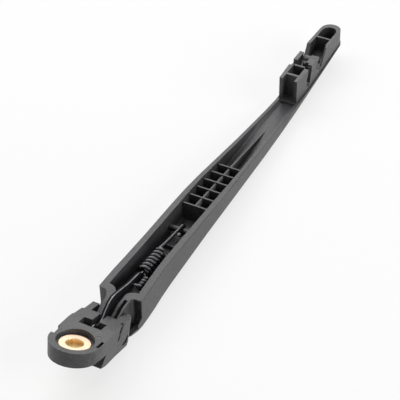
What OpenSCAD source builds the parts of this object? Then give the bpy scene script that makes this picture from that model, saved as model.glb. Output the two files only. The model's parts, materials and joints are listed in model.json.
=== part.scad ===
// Rear wiper arm seen from its underside: a channel arm, a folding pivot head with
// a brass bush, a tension spring with its strip link, and a clip for the blade.
// Millimetres, +Z up. Origin: middle of the bush's straight bore, +X to the blade end.
// The arm lies on its curved back and the head is folded up to its stop.

/* [Head] */
// Angle between the head and the arm, in degrees
fold = 18.5; // [16:0.5:20]
// Outside diameter of the ring at its top face
ring_d = 25.8; // [24:0.1:28]
// How much narrower the ring is at its bottom face
ring_taper = 1.4; // [0:0.1:2]
// Thickness of the ring
ring_t = 8.1; // [7:0.1:8.5]
// Height of the ring's top face above the bush
ring_up = 1.6; // [1:0.1:2]
// Diameter of the recess round the bush
recess_d = 18.7; // [17:0.1:20]
// Depth of the recess below the bush's top face
recess_deep = 0.7; // [0.4:0.1:1.5]
// Half of the head's width
head_half = 12.1; // [11.6:0.1:13]
// Height of the head's top face above the bush
head_up = 3.5; // [2.8:0.1:4]
// Length of the head's cheeks behind the hinge
cheek_back = 9.2; // [8.6:0.1:10]
// Width of the slot that the link swings in
link_slot = 3.8; // [3:0.1:4.5]
// Half of the cross pocket's width
pocket_half = 6.2; // [5.5:0.1:6.6]

/* [Spindle bush] */
// Outside diameter of the bush
bush_d = 15.6; // [14.5:0.1:16.5]
// Length of the bush
bush_l = 6.4; // [5.8:0.1:7]
// Radius of the straight bore
bore_r = 3.9; // [3.4:0.05:4.1]
// Length of the straight bore
bore_l = 3.5; // [3:0.1:4]
// Radius of the bore's mouth
mouth_r = 4.56; // [4.3:0.01:5.2]
// Number of serrations in the bore
serrations = 24; // [12:1:30]
// Depth of a serration
serration_deep = 0.25; // [0.15:0.05:0.35]

/* [Hinge and link] */
// Distance from the bush to the hinge, along the head
hinge_along = 27; // [26.5:0.1:27.5]
// Height of the hinge above the bush's top face
hinge_up = -6; // [-6.5:0.1:-5.6]
// Radius of the hinge pins
hinge_r = 2.0; // [1.6:0.1:2.4]
// How far each hinge pin stops short of the cheek's side
pin_cover = 1.7; // [1.2:0.1:2.5]
// Distance from the bush to the link's pin, along the head
pin_along = 16.5; // [16.2:0.1:17]
// Height of the link's pin above the bush's top face
pin_up = -0.6; // [-0.9:0.1:-0.3]
// Radius of the link's pin
pin_r = 1.6; // [1.3:0.1:1.8]
// Half of the link pin's length
pin_half = 9; // [8:0.5:10]
// Thickness of the link's strip
strip_t = 1.5; // [1.2:0.1:1.8]
// Running clearance round the pins
run_gap = 0.05; // [0.02:0.01:0.1]

/* [Spring] */
// Diameter of the spring's wire
wire_d = 1.9; // [1.5:0.1:2]
// Radius of the coil, to the middle of the wire
coil_r = 3.45; // [3.2:0.05:3.6]
// Number of turns of the wide coil
coil_turns = 7; // [5:1:8]
// Pitch of the wide coil
coil_pitch = 2.75; // [2.5:0.05:3.2]
// Radius of the narrow turns, to the middle of the wire
tail_r = 1.5; // [1.4:0.05:1.6]
// Pitch of the narrow turns
tail_pitch = 2.25; // [2.1:0.05:2.6]
// Distance from the bush to the spring's anchor, along the arm
anchor_x = 106; // [104:0.5:110]
// Height of the anchor above the bush's top face
anchor_z = -14.4; // [-14.8:0.1:-14]
// Radius of the anchor
anchor_r = 1.75; // [1.4:0.05:1.9]
// Half of the anchor's length
anchor_half = 9.2; // [8.6:0.1:9.6]

/* [Arm] */
// Distance from the bush to the seat of the blade's pin, along the arm
seat_x = 268; // [240:1:300]
// Half of the gap between the two ears
ear_in = 2.6; // [2.4:0.1:3]
// Thickness of an ear
ear_t = 2.6; // [2.2:0.1:2.8]
// Thickness of the ribs
rib_t = 0.9; // [0.7:0.05:1.3]
// Number of cross ribs
ribs = 6; // [3:1:6]
// Distance between cross ribs
rib_pitch = 8.1; // [7:0.1:8.4]
// Half of the blade end's width
tip_half = 6.9; // [6.7:0.1:7.4]

/* [Blade clip] */
// Half of the clip's width
clip_half = 6.2; // [6:0.1:6.5]
// Thickness of the clip's side walls
clip_wall = 2.5; // [2.3:0.1:2.6]
// Wall round the cells at the clip's end
end_wall = 1.85; // [1.5:0.05:2]
// Radius of the seat for the blade's pin
seat_r = 3.5; // [3:0.1:3.6]
// Height of the seat's middle above the bush's top face
seat_z = -10.9; // [-11:0.1:-10.6]
// Radius of the snap finger's knob
knob_r = 2.1; // [1.7:0.05:2.2]

/* [Hidden] */
$fn = 64;
// what a cut passes beyond a face, and what a piece sinks into its neighbour's face
over = 1;
lap = 0.05;

plastic = [0.13, 0.13, 0.135];
clip_plastic = [0.145, 0.145, 0.15];
brass = [0.86, 0.68, 0.36];
steel = [0.5, 0.5, 0.52];
dark_steel = [0.3, 0.3, 0.32];

cone_deep = bush_l - bore_l;
bush_mid = -(cone_deep + bush_l)/2;
ring_low = ring_up - ring_t;
ear_out = ear_in + ear_t;
cheek_in = ear_out + 2;
hinge_reach = head_half - pin_cover;
clip_in = clip_half - clip_wall;
// where the clip's own measures along the arm start
clip_x = seat_x - 1;

// a point of the head's own plane, along and up, in the arm's plane
function from_head(p) = [p[0]*cos(fold) + p[1]*sin(fold), -p[0]*sin(fold) + p[1]*cos(fold)];
hinge = from_head([hinge_along, hinge_up]);
pin = from_head([pin_along, pin_up]);
anchor = [anchor_x, anchor_z];

// Plain shapes

module side_plate(points, from, to) {
  translate([0, to, 0]) rotate([90, 0, 0]) linear_extrude(to - from) polygon(points);
}
module y_cyl(at, r, from, to) {
  translate([at[0], to, at[1]]) rotate([90, 0, 0]) cylinder(r = r, h = to - from);
}
module both_sides() {
  children();
  mirror([0, 1, 0]) children();
}
module in_head() {
  rotate([0, fold, 0]) children();
}
function arc(cx, cz, r, from, to, n) =
  [for (i = [0:n]) let(a = from + (to - from)*i/n) [cx + r*cos(a), cz + r*sin(a)]];
function mirrored(right) =
  concat(right, [for (i = [len(right)-1:-1:0]) [-right[i][0], right[i][1]]]);
// a rounded end in plan, half as wide as half, from x to x + long
function round_end(x, long, half) =
  [for (i = [0:16]) let(a = -90 + i*180/16) [x + long*pow(abs(cos(a)), 0.8), half*sin(a)]];

// joins sections of equal length, each at its own x, into one closed solid
module loft(sections, xs) {
  n = len(sections);
  m = len(sections[0]);
  points = [for (i = [0:n-1]) for (p = sections[i]) [xs[i], p[0], p[1]]];
  sides = [for (i = [0:n-2]) for (j = [0:m-1])
    let(a = i*m + j, b = i*m + (j+1)%m, c = b + m, d = a + m)
    each [[a, b, c], [a, c, d]]];
  caps = [for (j = [1:m-2])
    each [[0, j+1, j], [(n-1)*m, (n-1)*m + j, (n-1)*m + j+1]]];
  polyhedron(points, concat(sides, caps), convexity = 8);
}

// Arm

// the part of the arm that grows with its length
fixed_to = 115;
grows_to = clip_x - 45;
function along(t) = fixed_to + t*(grows_to - fixed_to);
// the blade end's flat face, which carries the clip: x from the seat, height
PAD = [[-31, -18.5], [0, -17.0], [37, -14.1]];
pad = [for (p = PAD) [clip_x + p[0], p[1]]];
function pad_z(x) = lookup(x, pad);
// x, half width, rim, back, corner radius, wall, floor; no wall where the arm is solid
STATIONS = [
  [ 31.8,  9.6,  -4.9, -23.6, 3.6, 0, 0],
  [ 35.0, 10.9,  -4.8, -24.6, 4.2, 0, 0],
  [ 39.5, 11.8,  -4.7, -25.3, 4.5, 0, 0],
  [ 43.0, 12.0,  -4.6, -25.5, 4.6, 3.5, -22.6],
  [ 48.0, 11.8,  -4.4, -25.7, 4.6, 3.5, -22.9],
  [ 56.0, 11.5,  -4.3, -25.4, 4.4, 3.6, -22.7],
  [ 65.0, 11.0,  -4.4, -24.7, 4.2, 3.5, -22.2],
  [ 75.0, 10.8,  -4.8, -24.1, 4.1, 3.5, -21.7],
  [ 85.0, 10.7,  -5.5, -23.6, 4.0, 3.4, -21.2],
  [100.0, 10.7,  -6.3, -23.0, 4.0, 3.3, -20.7],
  [fixed_to,    10.7,  -7.1, -22.4, 4.0, 3.2, -20.2],
  [along(0.14), 10.6,  -8.1, -22.1, 3.8, 3.0, -19.9],
  [along(0.28), 10.2,  -9.5, -22.5, 3.6, 2.6, -20.4],
  [along(0.42),  9.6, -11.0, -23.3, 3.4, 2.3, -21.2],
  [along(0.56),  8.9, -12.6, -24.3, 3.2, 2.1, -21.4],
  [along(0.70),  8.1, -14.2, -25.2, 3.0, 2.0, -20.2],
  [along(0.84),  7.5, -15.5, -25.7, 3.0, 1.9, -18.9],
  [along(0.92),  7.2, -16.2, -25.7, 2.9, 1.8, -18.9],
  [grows_to,     7.0, -17.1, -25.4, 2.9, 1.8, -19.2],
  [clip_x - 36, tip_half, -18.0, -24.9, 2.8, 1.7, -19.9],
  [clip_x - 31, tip_half, pad_z(clip_x - 31), -24.5, 2.7, 1.7, -20.2],
  [clip_x - 17, tip_half + 0.1, pad_z(clip_x - 17), -22.6, 2.5, 0, 0],
  [clip_x,      tip_half + 0.1, pad_z(clip_x), -20.4, 2.2, 0, 0],
  [clip_x + 21, tip_half, pad_z(clip_x + 21), -17.6, 1.6, 0, 0],
  [clip_x + 38, tip_half, pad_z(clip_x + 37), -15.4, 1.0, 0, 0]];
function rim_z(x) = lookup(x, [for (s = STATIONS) [s[0], s[2]]]);
wall_x = 46.4;
HOLLOW = [for (s = STATIONS) if (s[5] > 0 && s[0] > wall_x) s];
hollow_to = HOLLOW[len(HOLLOW)-1][0] + lap;
RIBBED = [for (s = STATIONS) if (s[0] > anchor_x - 10 && s[0] < clip_x - 40) s];
tip_end_x = clip_x + 37.2;

// outside of the channel: upright lips, slanting sides and round lower corners
function outer(s) =
  let(w = s[1], r = s[4], slant = 0.25, lip = min(1.2, (s[2] - s[3] - r)/2))
  mirrored(concat([[w, s[2]], [w - 0.06, s[2] - lip]], arc(w - slant - r, s[3] + r, r, 0, -90, 4)));
// inside of the channel, cut off above the rim
function inner(s, above = 4) =
  let(w = s[1] - s[5], cut = min(1.4, s[2] - s[6] - 0.8), slant = 0.5)
  mirrored([[w, s[2] + above], [w, s[2] - 0.5], [w - slant, s[6] + cut], [w - slant - cut, s[6]]]);
// what the ribs may fill: a little into walls and floor, up to the rim
function filled(s) =
  let(w = s[1] - s[5] + 0.4)
  mirrored([[w, s[2]], [w, s[6] - 0.4]]);

// one ear with its hinge boss
module ear() {
  difference() {
    union() {
      side_plate([hinge + [-1.1, 4.7], hinge + [2.8, 6.0], hinge + [6.3, 7.6], [34.4, -4.95],
                  [36.5, -4.75], [36.5, -19.6], hinge + [3.3, -4.7], hinge + [0, -4.9]],
                 ear_in, ear_out);
      y_cyl(hinge, 4.9, ear_in, ear_out);
    }
    y_cyl(hinge, hinge_r + run_gap, ear_in - over, ear_out + over);
  }
}
// plan of one end wall, an S from the side wall to the ear
module wall_plan() {
  polygon([[47, 15], [42.6, 15], [42.55, 11.9], [42.1, 10.9], [42.0, 9.4], [41.9, 8.0],
           [41.0, 6.9], [39.2, 6.0], [36.6, ear_out - lap], [36.2, ear_out - lap],
           [36.2, ear_in + lap], [41.6, ear_in + lap], [43.2, ear_in + 0.3],
           [44.8, 4.2], [45.8, 6.2], [46.2, 8.2], [47, 8.2]]);
}
// the scoop under the head end: what stays of the chin once the middle is hollowed
module chin() {
  difference() {
    side_plate([[31, -23.1], [36, -20.4], [43.2, -15.6], [50, -12], [50, -50], [31, -50]], -25, 25);
    loft([outer([0, 7.9, 0, -21.6, 2.6]), outer([0, 9.0, 0, -22.3, 3.0]),
          outer([0, 9.6, 0, -22.8, 3.2]), outer([0, 8.3, 0, -22.85, 1.6])],
         [30.5, 36, 43.2, 46.6]);
  }
}
// what is open at the head end: all but the end walls, the ears and the chin
module front_void() {
  difference() {
    translate([20, -20, -40]) cube([wall_x - 20, 40, 60]);
    translate([0, 0, -22]) linear_extrude(30) both_sides() wall_plan();
    chin();
  }
}
// what is cut from the blade end to round it
module tip_void() {
  from = clip_x + 20.8;
  difference() {
    translate([from, -20, -40]) cube([30, 40, 40]);
    translate([0, 0, -41]) linear_extrude(42) union() {
      translate([from - 3, -9]) square([3, 18]);
      polygon(concat([[from - 2, -9], [from, -9], [from, -tip_half]],
                     round_end(tip_end_x - 8.3, 8.3, tip_half - 0.3),
                     [[from, tip_half], [from, 9], [from - 2, 9]]));
    }
  }
}
// cross ribs, and the long rib that runs out into the ramp
module rib_grid() {
  first = fixed_to + 6.2;
  last = first + (ribs - 1)*rib_pitch;
  intersection() {
    union() {
      for (i = [0:ribs-1]) let(x = first + i*rib_pitch)
        translate([x - rib_t/2, -9, -30]) cube([rib_t, 18, 30 + rim_z(x) - 1.5]);
      side_plate([[first, -24], [first, rim_z(first) - 1.6], [last, rim_z(last) - 2.3],
                  [along(0.66), -16.4], [along(0.85), -18.8], [along(0.85), -24]],
                 -rib_t/2, rib_t/2);
    }
    loft([for (s = RIBBED) filled(s)], [for (s = RIBBED) s[0]]);
  }
}
module arm_channel() color(plastic) {
  difference() {
    union() {
      difference() {
        loft([for (s = STATIONS) outer(s)], [for (s = STATIONS) s[0]]);
        loft([for (s = HOLLOW) inner(s)],
             [for (s = HOLLOW) s[0] == HOLLOW[0][0] ? wall_x - 0.2 : min(hollow_to, s[0] + lap)]);
        front_void();
        tip_void();
      }
      both_sides() ear();
      rib_grid();
      // low floor ribs on either side of the anchor
      for (dx = [-9.1, 7.1])
        translate([anchor_x + dx - rib_t/2, -7.2, -21.6]) cube([rib_t, 14.4, 3.2]);
    }
    y_cyl(anchor, anchor_r, -anchor_half, anchor_half);
  }
}

// Blade clip

cell_low = -14.2;
seat = [seat_x - clip_x, seat_z];
// outline of the clip's end in plan, from the seat, g inside it
module clip_plan(g) {
  polygon(concat([[-30, -5.55 + g], [-17, -clip_half + g], [19, -clip_half + g]],
                 round_end(28.8, 8.3 - g, clip_half - g),
                 [[19, clip_half - g], [-17, clip_half - g], [-30, 5.55 - g]]));
}
// the clip's outside, standing on the arm's flat end face
module clip_block() {
  intersection() {
    translate([0, 0, -30]) linear_extrude(30) clip_plan(0);
    side_plate(concat(PAD, [[37, -6.0], [8, -4.1], [-31.1, -3.1]]), -8, 8);
  }
}
// the round seat for the blade's pin, the funnel that leads down to it,
// and the room under the snap finger's end, in the near wall only
module pin_slot() {
  y_cyl(seat, seat_r, -8, 8);
  side_plate([[-2.3, seat_z], [-0.9, -7.4], [0.2, -4.3], [0.3, 0], [10.8, 0],
              [10.3, -4.2], [7.2, -8.8], [4.1, seat_z - 1.4]], -8, 8);
  side_plate([[-4.1, -9.2], [-1.95, -6.75], [-0.5, -4.3], [-0.4, 0], [2, 0], [2, -14.5],
              [-1.6, -14.5], [-3.4, -13.45], [-4.6, -11.4]], -8, -clip_in + 0.3);
}
// front recess between two flanges, and the four cells
module cells() {
  translate([-37, -clip_in + 0.1, -30]) cube([12.0, 2*clip_in - 0.2, 40]);
  translate([-23.3, -clip_in, -16.6]) cube([8.5, 2*clip_in, 20]);
  translate([-13.5, -clip_in, -15.8]) cube([23.4, 2*clip_in, 20]);
  translate([0, 0, cell_low]) linear_extrude(20) intersection() {
    polygon(concat([[9.8, -clip_half + end_wall], [27, -clip_half + end_wall]],
                   round_end(27, 6.2, clip_half - end_wall),
                   [[27, clip_half - end_wall], [9.8, clip_half - end_wall]]));
    union() {
      translate([9.8, -8]) square([9.5, 16]);
      translate([20.6, -8]) square([20, 16]);
    }
  }
}
// the slits that free the snap finger, and the notch in the far wall
module finger_slits() {
  side_plate([[-12.4, -2], [-10.6, -2], [-10.9, -7.5], [-12.5, -12.2], [-13.8, -15.1],
              [-15.0, -15.3], [-15.3, -14.2], [-13.65, -9.5]], -8, -clip_in + 0.45);
  translate([-9.8, -clip_in - 0.1, -15.7]) cube([6.2, 0.65, 9.1]);
  side_plate([[-16.4, -2], [-13.4, -5.6], [-9.3, -6.1], [-9.0, -2]], clip_in - 0.45, 8);
}
module blade_clip() color(clip_plastic) translate([clip_x, 0, 0]) {
  difference() {
    union() {
      difference() {
        clip_block();
        cells();
        pin_slot();
      }
      // the snap finger's pad and the knob across it
      translate([-9, -clip_half, -6.6]) cube([8.0, 4.3, 2.9]);
      y_cyl([-3.1, -5.5], knob_r, -clip_half + 1, 1.5);
      translate([-3.1, 1.5, -5.5]) rotate([-90, 0, 0]) cylinder(r1 = knob_r, r2 = knob_r/2, h = 0.9);
      // web under the knob
      side_plate([[-6.4, -5.5], [-2.6, -5.5], [-3.0, -8.4], [-4.4, -9.9], [-5.6, -9.6], [-6.2, -8.4]],
                 -clip_in - 0.4, 1.2);
    }
    finger_slits();
  }
}

// Head

// top of the head along its middle: a smooth rise from the ring to the body
rise_from = 2;
rise_to = 16.5;
rise_steps = 8;
rise = [for (i = [0:rise_steps]) let(t = i/rise_steps)
  [rise_from + t*(rise_to - rise_from), ring_up - lap + (head_up - ring_up + lap)*t*t*(3 - 2*t)]];
back_x = hinge_along + cheek_back;
module head_side() {
  side_plate(concat([[-5.2, -5.6], [8.5, -5.6], [4.2, -11.2], [9.2, -12.1],
                     [20.2, -11.8], [hinge_along + 4.5, -11.0], [back_x - 1.8, -9.6],
                     [back_x - 0.4, -4.5], [back_x - 0.2, 1.2], [back_x - 1.2, head_up + 0.1],
                     [back_x - 2.6, head_up]],
                    [for (i = [rise_steps:-1:0]) rise[i]], [[-5.2, ring_up - lap]]), -20, 20);
}
// its sides leave the ring along its tangent
module head_plan() {
  front = ring_d/2;
  polygon([[-5.2, -front + 1.75], [-2.6, -front + 0.4], [1.5, -front - 0.15],
           [6, -front - 0.1], [14, -head_half - 0.4], [20, -head_half],
           [hinge_along + 4, -head_half], [hinge_along + 6.6, -head_half + 0.7],
           [hinge_along + 8.4, -head_half + 2.5], [back_x, -head_half + 5.1], [back_x, 7.0],
           [back_x - 0.2, head_half - 1.3], [hinge_along - 0.4, head_half - 1.3],
           [hinge_along - 1.2, head_half - 0.2], [19, head_half], [18, head_half + 0.45],
           [12, head_half + 0.6], [6, front + 0.1], [1.5, front + 0.15],
           [-2.6, front - 0.4], [-5.2, front - 1.75]]);
}
// gap between the cheeks for the ears, below a skin over their noses
module ear_gap() {
  sweep = 6.4;
  skin = 1.1;
  difference() {
    union() {
      y_cyl([hinge_along, hinge_up], sweep, -cheek_in, cheek_in);
      translate([hinge_along, -cheek_in, -20]) cube([20, 2*cheek_in, 40]);
      side_plate([[hinge_along - 5.4, hinge_up], [hinge_along - 5.4, -20],
                  [hinge_along + 3, -20], [hinge_along + 3, hinge_up]], -cheek_in, cheek_in);
    }
    side_plate([[18, head_up - skin], [hinge_along - 1.8, head_up - skin],
                [hinge_along - 1.4, head_up + 1.5], [18, head_up + 1.5]], -cheek_in, cheek_in);
  }
}
// shallow slits round the hinge boss on the near cheek
module cheek_slits() {
  deep = 0.8;
  for (slit = [[[1.4, 11], [-0.4, 10.4], [-2.8, 8.6], [-4.4, 6.2],
                [-3.8, 6.0], [-2.2, 8.2], [0, 9.9], [1.6, 10.4]],
               [[-5.0, 4.4], [-4.4, 4.3], [-5.1, 2.3], [-5.8, 2.5]],
               [[3.9, 0.4], [4.6, 0.1], [3.0, -3.0], [2.3, -2.6]]])
    translate([hinge_along, 0, hinge_up]) side_plate(slit, -head_half - over, -head_half + deep);
}
module pivot_head() color(plastic) in_head() {
  difference() {
    union() {
      translate([0, 0, ring_low]) cylinder(d1 = ring_d - ring_taper, d2 = ring_d, h = ring_t);
      intersection() {
        head_side();
        translate([0, 0, -20]) linear_extrude(40) head_plan();
      }
    }
    translate([0, 0, -recess_deep]) cylinder(d = recess_d, h = 10);
    translate([0, 0, ring_low - over]) cylinder(d = bush_d, h = 20);
    // open notch on the far side, closed slot on the near side
    translate([0, 0, -1.4]) linear_extrude(10)
      polygon([[-0.5, 11.2], [6.1, 12.0], [6.1, 16], [-0.5, 16]]);
    translate([0.3, -12.45, -3.4]) cube([5.7, 1.6, 10]);
    // slot for the link, and the cross pocket over its pin
    translate([13, -link_slot/2, -20]) cube([40, link_slot, 40]);
    side_plate([[pin_along - 3.3, 10], [pin_along - 3.3, pin_up - 0.2],
                [pin_along - 2.4, pin_up - 2.1], [pin_along + 2.4, pin_up - 2.1],
                [pin_along + 2.4, 10]], -pocket_half, pocket_half);
    y_cyl([pin_along, pin_up], pin_r, -pin_half, pin_half);
    ear_gap();
    y_cyl([hinge_along, hinge_up], hinge_r, -hinge_reach, hinge_reach);
    cheek_slits();
  }
}

// Spindle bush

module spindle_bush() color(brass) in_head() {
  chamfer = 0.35;
  difference() {
    translate([0, 0, -bush_l]) cylinder(d = bush_d, h = bush_l);
    translate([0, 0, -bush_l - over]) cylinder(r = bore_r, h = bush_l + 2*over);
    translate([0, 0, -cone_deep]) cylinder(r1 = bore_r, r2 = mouth_r - 0.3, h = cone_deep + 0.01);
    translate([0, 0, -chamfer]) cylinder(r1 = mouth_r - chamfer, r2 = mouth_r, h = chamfer + 0.01);
    for (i = [0:serrations-1]) rotate(i*360/serrations)
      translate([0, -0.1, -bush_l - over]) cube([bore_r + serration_deep, 0.2, bush_l + 2.6]);
  }
}

// Pins and link

module hinge_pin_left() color(steel) y_cyl(hinge, hinge_r, ear_in, hinge_reach);
module hinge_pin_right() color(steel) y_cyl(hinge, hinge_r, -hinge_reach, -ear_in);
module link_pin() color(steel) y_cyl(pin, pin_r, -pin_half, pin_half);
module spring_anchor() color(steel) y_cyl(anchor, anchor_r, -anchor_half, anchor_half);

// the pull line runs from the link's pin to the anchor; s along it, h above it
line_a = atan2(anchor[1] - pin[1], anchor[0] - pin[0]);
reach = norm(anchor - pin);
function on_line(s, h) =
  pin + [s*cos(line_a) - h*sin(line_a), s*sin(line_a) + h*cos(line_a)];
hook_at = [38.6, 1.2];
hook_hole = on_line(hook_at[0], hook_at[1]);
// the strip bends over the hinge and ends round the spring's hook
module spring_link() color(dark_steel) {
  difference() {
    union() {
      side_plate([pin + [-0.4, -3.0], [19.5, -10.4], [24.0, -9.6], [27.6, -7.0], [31.6, -4.9],
                  [36.6, -4.9], [48, -8.4], hook_hole + [4.5, -2.5], hook_hole + [6.6, -2.7],
                  hook_hole + [9.6, -2.7], hook_hole + [10.6, -1.9], hook_hole + [10.8, -0.7],
                  hook_hole + [10.3, 0.2], hook_hole + [8.5, 0.6], hook_hole + [7.2, 1.8],
                  hook_hole + [5.6, 2.5], [50, -4.1], [37.7, -0.4], [34.2, 0.1], [31.0, -0.7],
                  [27.2, -2.9], [24.0, -5.5], [21, -6.3], [18.6, -5.0], pin + [0.8, 3.0]],
                 -strip_t/2, strip_t/2);
      y_cyl(pin, 3.1, -strip_t/2, strip_t/2);
    }
    y_cyl(pin, pin_r + run_gap, -2, 2);
    y_cyl(hook_hole, wire_d/2 + 0.4, -2, 2);
  }
}

// Spring

per_turn = 12;
tail_y = -3.5;
tail_h = -0.4;
tail_from = 75;
tail_to = 195 + 3*360;
tail_start = hook_at[0] + 0.5;
tail_end = tail_start + (tail_to - tail_from)/360*tail_pitch;
coil_start = tail_end + 3.2;
coil_end = coil_start + coil_turns*coil_pitch;
hook_r = anchor_r + wire_d/2 + 0.15;
// along the pull line, across it, above it
path = concat(
  [[hook_at[0], 2.0, hook_at[1]], [hook_at[0], -1.4, hook_at[1]],
   [hook_at[0] + 0.2, -2.3, tail_h + tail_r*0.98]],
  [for (a = [tail_from:360/per_turn:tail_to])
    [tail_start + (a - tail_from)/360*tail_pitch, tail_y + tail_r*cos(a), tail_h + tail_r*sin(a)]],
  [[tail_end + 0.8, -4.5, -2.4], [tail_end + 1.8, -3.1, -3.2], [tail_end + 2.6, -1.4, -3.5]],
  [for (i = [0:per_turn*coil_turns - 5]) let(a = 270 + i*360/per_turn)
    [coil_start + i*coil_pitch/per_turn, coil_r*cos(a), coil_r*sin(a)]],
  [[coil_end - 0.7, 1.2, coil_r + 0.1], [coil_end + 0.9, 0.2, coil_r - 0.1]],
  [for (a = [100:-30:-170]) [reach + hook_r*cos(a), 0, hook_r*sin(a)]]);
// a round wire swept along points, m-sided
module wire(points, r, m = 7) {
  n = len(points);
  function unit(v) = v/norm(v);
  rings = [for (i = [0:n-1])
    let(t = unit(points[min(n-1, i+1)] - points[max(0, i-1)]),
        away = abs(t[0]) > 0.95 ? [0, 0, 1] : [1, 0, 0],
        u = unit(cross(t, away)),
        v = cross(t, u))
    for (j = [0:m-1]) points[i] + r*cos(j*360/m)*u + r*sin(j*360/m)*v];
  sides = [for (i = [0:n-2]) for (j = [0:m-1])
    let(a = i*m + j, b = i*m + (j+1)%m, c = b + m, d = a + m)
    each [[a, c, b], [a, d, c]]];
  ends = [[for (j = [0:m-1]) j], [for (j = [m-1:-1:0]) (n-1)*m + j]];
  polyhedron(rings, concat(sides, ends), convexity = 12);
}
module tension_spring() color(dark_steel) {
  wire([for (p = path) let(q = on_line(p[0], p[2])) [q[0], p[1], q[1]]], wire_d/2);
}

// puts the middle of the bush's straight bore at the origin
module placed() {
  translate(-[bush_mid*sin(fold), 0, bush_mid*cos(fold)]) children();
}
placed() arm_channel();
placed() blade_clip();
placed() pivot_head();
placed() spindle_bush();
placed() hinge_pin_left();
placed() hinge_pin_right();
placed() link_pin();
placed() spring_link();
placed() spring_anchor();
placed() tension_spring();
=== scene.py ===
"""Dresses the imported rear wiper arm: moulded plastic, a turned brass bush and spring steel.

The arm lies underside up on a pale floor. Outlines and places of details are in millimetres.
"""

import json
import math

import bpy
from mathutils import Euler, Matrix, Vector


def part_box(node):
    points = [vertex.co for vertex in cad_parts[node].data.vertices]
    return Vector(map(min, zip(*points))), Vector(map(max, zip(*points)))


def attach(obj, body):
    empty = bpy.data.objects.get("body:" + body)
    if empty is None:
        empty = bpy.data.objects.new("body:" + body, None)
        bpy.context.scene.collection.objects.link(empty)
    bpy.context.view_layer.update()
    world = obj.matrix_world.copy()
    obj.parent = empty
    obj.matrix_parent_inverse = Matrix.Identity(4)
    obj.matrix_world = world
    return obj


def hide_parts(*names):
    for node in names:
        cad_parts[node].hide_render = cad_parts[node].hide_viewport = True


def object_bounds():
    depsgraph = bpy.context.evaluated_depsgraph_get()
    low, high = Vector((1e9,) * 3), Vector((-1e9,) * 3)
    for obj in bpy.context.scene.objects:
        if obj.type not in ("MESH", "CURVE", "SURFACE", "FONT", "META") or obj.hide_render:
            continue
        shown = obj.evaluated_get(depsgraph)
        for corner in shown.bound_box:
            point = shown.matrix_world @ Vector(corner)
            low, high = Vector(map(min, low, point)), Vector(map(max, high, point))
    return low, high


bl_info = {
    "name": "Wiper Arm Looks",
    "version": (1, 0, 0),
    "blender": (4, 5, 0),
    "location": "View3D > Sidebar > Wiper Arm",
    "description": "Finishes a rear wiper arm in moulded plastic, turned brass and spring steel",
    "category": "Object",
}

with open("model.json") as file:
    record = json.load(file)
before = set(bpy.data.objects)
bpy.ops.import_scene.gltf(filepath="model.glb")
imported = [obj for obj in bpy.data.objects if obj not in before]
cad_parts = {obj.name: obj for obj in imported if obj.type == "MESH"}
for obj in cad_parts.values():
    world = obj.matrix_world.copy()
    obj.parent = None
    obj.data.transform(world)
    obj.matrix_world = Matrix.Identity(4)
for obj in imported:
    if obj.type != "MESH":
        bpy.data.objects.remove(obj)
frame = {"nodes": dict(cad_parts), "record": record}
cad_low, cad_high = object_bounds()

MM = 0.001
MOUNTS = {mount["name"]: mount for mount in frame["record"]["mounts"]}
BORE_AXIS = Vector(MOUNTS["spindle_bore"]["axis"])
# The head's own plane leans by this from the plane of the arm's rim
FOLD = math.atan2(BORE_AXIS.x, BORE_AXIS.z)
# The frame's origin is in the middle of the straight bore, this far below the bush's top face
BUSH_TOP = 4.65
# A head point is given in the head's own plane, from the bush's top face
HEAD_TO_FRAME = Matrix.Rotation(FOLD, 4, "Y") @ Matrix.Translation((0, 0, BUSH_TOP * MM))
# An arm point is given level with the arm's rim, from the same place
ARM_TO_FRAME = Matrix.Translation(HEAD_TO_FRAME.translation)
# A clip point is given from the middle of the clip, 1 mm short of the seat of the blade's pin
CLIP_ALONG = 267
CLIP_TO_FRAME = ARM_TO_FRAME @ Matrix.Translation((CLIP_ALONG * MM, 0, 0))
# The floor and the lamps are centred on this place, near the middle of the arm
ARM_MIDDLE = Vector((0.15, 0, 0))


# Sizes and colours


class WiperSizes(bpy.types.PropertyGroup):
    """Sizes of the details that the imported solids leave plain."""

    arm_edge: bpy.props.FloatProperty(
        name="Arm edge radius",
        description="Radius of the arm's moulded edges",
        default=0.35 * MM,
        unit="LENGTH",
    )
    head_edge: bpy.props.FloatProperty(
        name="Head edge radius",
        description="Radius of the head's moulded edges",
        default=0.3 * MM,
        unit="LENGTH",
    )
    clip_edge: bpy.props.FloatProperty(
        name="Clip edge radius",
        description="Radius of the clip's moulded edges",
        default=0.25 * MM,
        unit="LENGTH",
    )
    steel_edge: bpy.props.FloatProperty(
        name="Steel edge radius",
        description="Radius that tumbling leaves on pins and strip",
        default=0.15 * MM,
        unit="LENGTH",
    )
    bush_radius: bpy.props.FloatProperty(
        name="Bush radius",
        description="Outer radius of the brass bush",
        default=7.8 * MM,
        unit="LENGTH",
    )
    bush_depth: bpy.props.FloatProperty(
        name="Bush depth",
        description="Length of the brass bush",
        default=6.4 * MM,
        unit="LENGTH",
    )
    wire_radius: bpy.props.FloatProperty(
        name="Wire radius",
        description="Half the spring wire's thickness",
        default=0.95 * MM,
        unit="LENGTH",
    )
    coil_radius: bpy.props.FloatProperty(
        name="Coil radius",
        description="Radius of the coil, to the wire's middle",
        default=3.45 * MM,
        unit="LENGTH",
    )


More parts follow.
